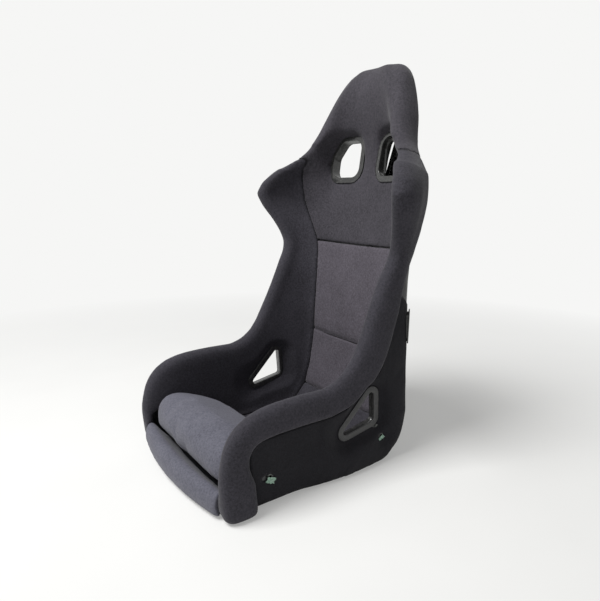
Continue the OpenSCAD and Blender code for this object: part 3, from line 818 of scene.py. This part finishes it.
@dataclass
class HardParts:
    """Laminate shell, harness bezels, side inserts and the cloth over the outer sides.

    Places and distances are in metres where a name doesn't say otherwise.
    """

    finishes: Finishes
    bezel_edge_mm: float = 1.3
    crotch_edge_mm: float = 1.0
    tape_edge_mm: float = 0.2
    plate_edge_mm: float = 0.5
    sides: tuple[str, ...] = ("left", "right")
    # The inserts in a side
    insert_x: float = 0.2222
    insert_y: tuple[float, ...] = (-0.1784, 0.1116)
    insert_z: float = 0.067
    # Longest edges after each split, so that flat walls can be bent
    shell_splits: tuple[float, ...] = (0.04, 0.02, 0.01)
    cloth_splits: tuple[float, ...] = (0.06, 0.03, 0.015, 0.008)
    shell_crisp_deg: float = 38.0
    cloth_crisp_deg: float = 50.0
    # The stretch of shell wall that is bent round a lap slot
    wall_x: float = 0.17
    wall_y: tuple[float, float] = (-0.09, 0.15)
    wall_z: tuple[float, float] = (0.03, 0.22)
    # The side cloth fills out behind the front insert and ends at the back, higher at the rear
    full_mm: float = 15.0
    full_front: tuple[float, float] = (-0.13, 0.02)
    full_rear: tuple[float, float] = (0.16, 0.24)
    full_low: float = 0.045
    full_high: float = 0.15
    full_lift: float = 0.08
    full_lift_y: tuple[float, float] = (0.06, 0.16)
    slot_fade: float = 0.04
    # It is drawn in at an insert, and seven creases run out from there
    draw_in: float = 0.03
    crease_mm: float = 1.3
    crease_count: int = 7
    crease_reach: float = 0.045
    crease_start: tuple[float, float] = (0.008, 0.02)
    # Its front edge is tucked in under the roll, and its lower hem is faired
    tuck: float = 0.016
    tuck_y: tuple[float, float] = (-0.165, -0.2)
    hem_top: float = 0.06
    hem_rounds: int = 3
    # A scrap's length, height, crumple and stand-off, and the height of its middle
    scrap_mm: tuple[float, float] = (19.0, 13.0)
    scrap_crumple_mm: float = 2.2
    scrap_off_mm: float = 1.8
    scrap_ragged: float = 0.25
    scrap_z: float = 0.06
    scrap_turns: tuple[float, ...] = (-25.0, 35.0)

    def build_trim(self) -> list[bpy.types.Object]:
        """Make the bezels, their backing rings and the hook tapes on the pan.

        Returns:
            The pieces.
        """
        made = []
        for side in self.sides:
            for part, material, slot in (
                    ("shoulder_bezel", self.finishes.bezel, "bezel_plastic"),
                    ("lap_bezel", self.finishes.bezel, "bezel_plastic"),
                    ("vent_bezel", self.finishes.bezel, "bezel_plastic"),
                    ("shoulder_backing", self.finishes.backing, "bezel_backing"),
                    ("lap_backing", self.finishes.backing, "bezel_backing")):
                node = f"{part}_{side}"
                piece = eased_copy(f"{node}_moulding", self.bezel_edge_mm, node)
                HipPress().press(piece)
                made.append(dress(piece, "seat", material, slot, node))
        crotch = eased_copy("crotch_bezel_moulding", self.crotch_edge_mm, "crotch_bezel")
        made.append(dress(crotch, "seat", self.finishes.bezel, "bezel_plastic", "crotch_bezel"))
        tapes = eased_copy("pan_hook_tapes", self.tape_edge_mm, "pan_hook_strips")
        made.append(dress(tapes, "seat", self.finishes.tape, "hook_and_loop", "pan_hook_strips"))
        return made

    def build_shell(self) -> bpy.types.Object:
        """Make the laminate shell with its rounded skin shaded smooth.

        Returns:
            The piece.
        """
        piece = node_copy("laminate_shell", "shell")
        shape = bmesh.new()
        shape.from_mesh(piece.data)
        (front, rear), (low, high) = self.wall_y, self.wall_z
        refine(shape, self.shell_splits,
               lambda p: abs(p.x) > self.wall_x and front < p.y < rear and low < p.z < high)
        shape.to_mesh(piece.data)
        shape.free()
        HipPress().press(piece)
        piece.data.shade_smooth()
        piece.data.set_sharp_from_angle(angle=math.radians(self.shell_crisp_deg))
        return dress(piece, "seat", self.finishes.laminate, "laminate", "shell")

    def fullness(self, place: Vector) -> float:
        """How far the cloth over a side stands off its laminate, in metres.

        Args:
            place: A place on the cloth.

        Returns:
            The distance: full under the hips, drawn in round the inserts and the lap slot.
        """
        along = smooth(*self.full_front, place.y) * (1 - smooth(*self.full_rear, place.y))
        high = self.full_high + self.full_lift * smooth(*self.full_lift_y, place.y)
        rise = 1 - smooth(self.full_low, high, place.z)
        slot = smooth(0.0, self.slot_fade, HipPress().away(place.y, place.z))
        full = self.full_mm * MM * along * rise * slot
        for y in self.insert_y:
            away = math.hypot(place.y - y, place.z - self.insert_z)
            turn = math.atan2(place.z - self.insert_z, place.y - y)
            full *= 1 - math.exp(-(away / self.draw_in) ** 2)
            wave = math.sin(self.crease_count * turn + 9 * y)
            full += (self.crease_mm * MM * wave * noise.noise(place * 30)
                     * math.exp(-(away / self.crease_reach) ** 2)
                     * smooth(*self.crease_start, away))
        return full

    def build_side_cloth(self, side: str) -> bpy.types.Object:
        """Make the cloth over one outer side, loose over the hips.

        Args:
            side: Left or right.

        Returns:
            The piece.
        """
        cover = node_copy(f"outer_side_cloth_{side}", f"side_cover_{side}")
        shape = bmesh.new()
        shape.from_mesh(cover.data)
        refine(shape, self.cloth_splits)
        shape.normal_update()
        sign = 1 if side == "left" else -1
        # Only outward, downward and rearward faces fill out, and none below the floor
        for v in shape.verts:
            out = v.normal
            if out.x * sign > 0.1 or out.z < -0.3 or out.y > 0.5:
                v.co += out * self.fullness(v.co)
                v.co.z = max(v.co.z, 0.0)
            v.co.y -= self.tuck * smooth(*self.tuck_y, v.co.y)
            v.co = HipPress().pressed(v.co)
        shape.to_mesh(cover.data)
        shape.free()
        relax(cover, self.hem_rounds, lambda p: p.z < self.hem_top)
        cover.data.shade_smooth()
        cover.data.set_sharp_from_angle(angle=math.radians(self.cloth_crisp_deg))
        return dress(cover, "seat", self.finishes.side, "side_cloth", f"side_cover_{side}")

    def build_scrap(self, y: float, turn: float) -> bpy.types.Object:
        """Make a crumpled scrap of masking film that sticks out of an insert's mouth.

        Args:
            y: Place of the insert along the seat.
            turn: How the scrap is turned, in degrees.

        Returns:
            The piece.
        """
        shape = bmesh.new()
        bmesh.ops.create_grid(shape, x_segments=18, y_segments=14, size=0.5)
        spin = Matrix.Rotation(math.radians(turn), 3, "X")
        long, high = self.scrap_mm
        for v in shape.verts:
            a, b = v.co.x, v.co.y
            ragged = 1 + self.scrap_ragged * noise.noise(Vector((a * 5, b * 5, y * 40)))
            rumple = noise.noise(Vector((a * 3.2, b * 3.2, 7 + y * 30)))
            lift = self.scrap_crumple_mm * rumple + 1.2 * abs(a)
            flat = Vector((lift + self.scrap_off_mm, a * long * ragged, b * high * ragged))
            v.co = spin @ (flat * MM)
            v.co += Vector((self.insert_x, y, self.scrap_z))
        piece = bank(f"masking_scrap_{'front' if y < 0 else 'rear'}", shape)
        piece.data.shade_smooth()
        return dress(piece, "seat", self.finishes.scrap, "bezel_backing")

    def build_sides(self) -> list[bpy.types.Object]:
        """Make the cloth over the outer sides and the inserts that come through it.

        Returns:
            The pieces.
        """
        made = []
        for side in self.sides:
            made.append(self.build_side_cloth(side))
            plate = eased_copy(f"mounting_plate_{side}", self.plate_edge_mm, f"mount_plate_{side}")
            HipPress().press(plate)
            made.append(dress(plate, "seat", self.finishes.steel, "insert_steel",
                              f"mount_plate_{side}"))
        made += [self.build_scrap(y, turn) for y, turn in zip(self.insert_y, self.scrap_turns)]
        return made

    def build(self) -> list[bpy.types.Object]:
        """Make every hard part.

        Returns:
            The pieces.
        """
        return [self.build_shell(), *self.build_sides(), *self.build_trim()]


@dataclass
class Studio:
    """Camera at the photograph's angle, pale floor and soft light."""

    image: tuple[int, int] = (600, 601)
    place: Vector = field(default_factory=lambda: Vector((0.949, -0.5615, 0.564)))
    azimuth: float = 49.8
    elevation: float = 22.8
    roll: float = 1.0
    focal_px: float = 478.0
    centre_px: tuple[float, float] = (362.0, 403.0)
    sensor_mm: float = 36.0
    aim: tuple[float, float, float] = (0.0, 0.0, 0.4)
    dim: float = 0.27
    floor_radius: float = 9.0
    floor_drop: float = 0.0005
    fade: tuple[float, float] = (0.5, 2.2)
    least_fade: float = 0.3

    def build_camera(self) -> bpy.types.Object:
        """Make the camera and make it the scene's.

        Returns:
            The camera.
        """
        data = bpy.data.cameras.new("camera")
        data.sensor_fit = "HORIZONTAL"
        data.sensor_width = self.sensor_mm
        data.lens = self.focal_px / self.image[0] * self.sensor_mm
        data.shift_x = (self.image[0] / 2 - self.centre_px[0]) / self.image[0]
        data.shift_y = (self.centre_px[1] - self.image[1] / 2) / self.image[0]
        camera = bpy.data.objects.new("camera", data)
        bpy.context.scene.collection.objects.link(camera)
        a, e = math.radians(self.azimuth), math.radians(self.elevation)
        back = Vector((math.sin(a) * math.cos(e), -math.cos(a) * math.cos(e), math.sin(e)))
        turn = (-back).to_track_quat("-Z", "Y").to_matrix().to_4x4()
        camera.matrix_world = (Matrix.Translation(self.place) @ turn
                               @ Matrix.Rotation(math.radians(self.roll), 4, "Z"))
        bpy.context.scene.camera = camera
        return camera

    def build_lamp(self, name: str, place: tuple[float, float, float], size: float,
                   watts: float) -> None:
        """Add a square soft box aimed at the seat's middle.

        Args:
            name: Name of the lamp.
            place: Where it stands.
            size: Its side in metres.
            watts: Its power.
        """
        data = bpy.data.lights.new(name, "AREA")
        data.shape = "SQUARE"
        data.size = size
        data.energy = watts
        lamp = bpy.data.objects.new(name, data)
        lamp.location = place
        towards = Vector(self.aim) - lamp.location
        lamp.rotation_euler = towards.to_track_quat("-Z", "Y").to_euler()
        bpy.context.scene.collection.objects.link(lamp)

    def build_world(self) -> None:
        """Make the sky: dim on the object, white behind it and in its reflections."""
        world = bpy.data.worlds.new("studio")
        bpy.context.scene.world = world
        world.use_nodes = True
        tree = world.node_tree
        tree.nodes.clear()
        path = add_node(tree, "ShaderNodeLightPath")
        shown = add_node(tree, "ShaderNodeMath", {},
                         {0: path.outputs["Is Camera Ray"], 1: path.outputs["Is Glossy Ray"]},
                         operation="MAXIMUM")
        shown = add_node(tree, "ShaderNodeMath", {},
                         {0: shown.outputs[0], 1: path.outputs["Is Transmission Ray"]},
                         operation="MAXIMUM")
        dim = add_node(tree, "ShaderNodeBackground",
                       {"Color": linear("#F4F4F2"), "Strength": self.dim})
        bright = add_node(tree, "ShaderNodeBackground",
                          {"Color": linear("#F6F6F5"), "Strength": 1.0})
        both = add_node(tree, "ShaderNodeMixShader", {},
                        {0: shown.outputs[0], 1: dim.outputs[0], 2: bright.outputs[0]})
        add_node(tree, "ShaderNodeOutputWorld", {}, {"Surface": both.outputs[0]})

    def build_floor(self) -> bpy.types.Object:
        """Make the floor, which is pale and keeps the seat's shadow.

        Returns:
            The floor.
        """
        shape = bmesh.new()
        bmesh.ops.create_circle(shape, cap_ends=True, segments=96, radius=self.floor_radius)
        for v in shape.verts:
            v.co.z = -self.floor_drop
        floor = bank("studio_floor", shape)
        made = bpy.data.materials.new("pale_floor")
        made.use_nodes = True
        tree = made.node_tree
        tree.nodes.clear()
        place = add_node(tree, "ShaderNodeTexCoord").outputs["Object"]
        path = add_node(tree, "ShaderNodeLightPath")
        grain = add_node(tree, "ShaderNodeTexNoise", {"Scale": 3.0, "Detail": 2.0},
                         {"Vector": place})
        colour = add_node(tree, "ShaderNodeValToRGB", {}, {"Fac": grain.outputs["Fac"]})
        colour.color_ramp.elements[0].color = linear("#E9E9E7")
        colour.color_ramp.elements[1].color = linear("#F3F3F1")
        matt = add_node(tree, "ShaderNodeBsdfDiffuse", {}, {"Color": colour.outputs["Color"]})
        glow = add_node(tree, "ShaderNodeEmission", {"Color": linear("#F6F6F5"), "Strength": 1.0})
        # To the camera the floor fades to the white behind it, 0.5 to 2.2 m from the seat
        reach = add_node(tree, "ShaderNodeVectorMath", {}, {0: place}, operation="LENGTH")
        fade = add_node(tree, "ShaderNodeMapRange",
                        {"From Min": self.fade[0], "From Max": self.fade[1],
                         "To Min": self.least_fade, "To Max": 1.0},
                        {"Value": reach.outputs["Value"]})
        part = add_node(tree, "ShaderNodeMath", {},
                        {0: fade.outputs[0], 1: path.outputs["Is Camera Ray"]},
                        operation="MULTIPLY")
        both = add_node(tree, "ShaderNodeMixShader", {},
                        {0: part.outputs[0], 1: matt.outputs[0], 2: glow.outputs[0]})
        add_node(tree, "ShaderNodeOutputMaterial", {}, {"Surface": both.outputs[0]})
        floor.data.materials.append(made)
        return floor

    def build(self) -> None:
        """Make the whole studio."""
        bpy.context.scene.view_settings.view_transform = "Standard"
        self.build_camera()
        self.build_world()
        self.build_floor()
        self.build_lamp("key_box", (-0.3, -1.4, 2.8), 1.5, 100.0)
        self.build_lamp("fill_box", (2.4, -1.8, 1.3), 1.8, 4.0)


def main() -> None:
    """Build the studio and every part of the seat."""
    logging.basicConfig(level=logging.INFO, format="%(name)s: %(message)s")
    Studio().build()
    finishes = Finishes()
    for piece in HardParts(finishes).build():
        LOG.info("hard part %s", piece.name)
    for piece in Upholstery(finishes).build():
        LOG.info("cover %s", piece.name)
    LegCushion(finishes).build()


if __name__ == "__main__":
    main()
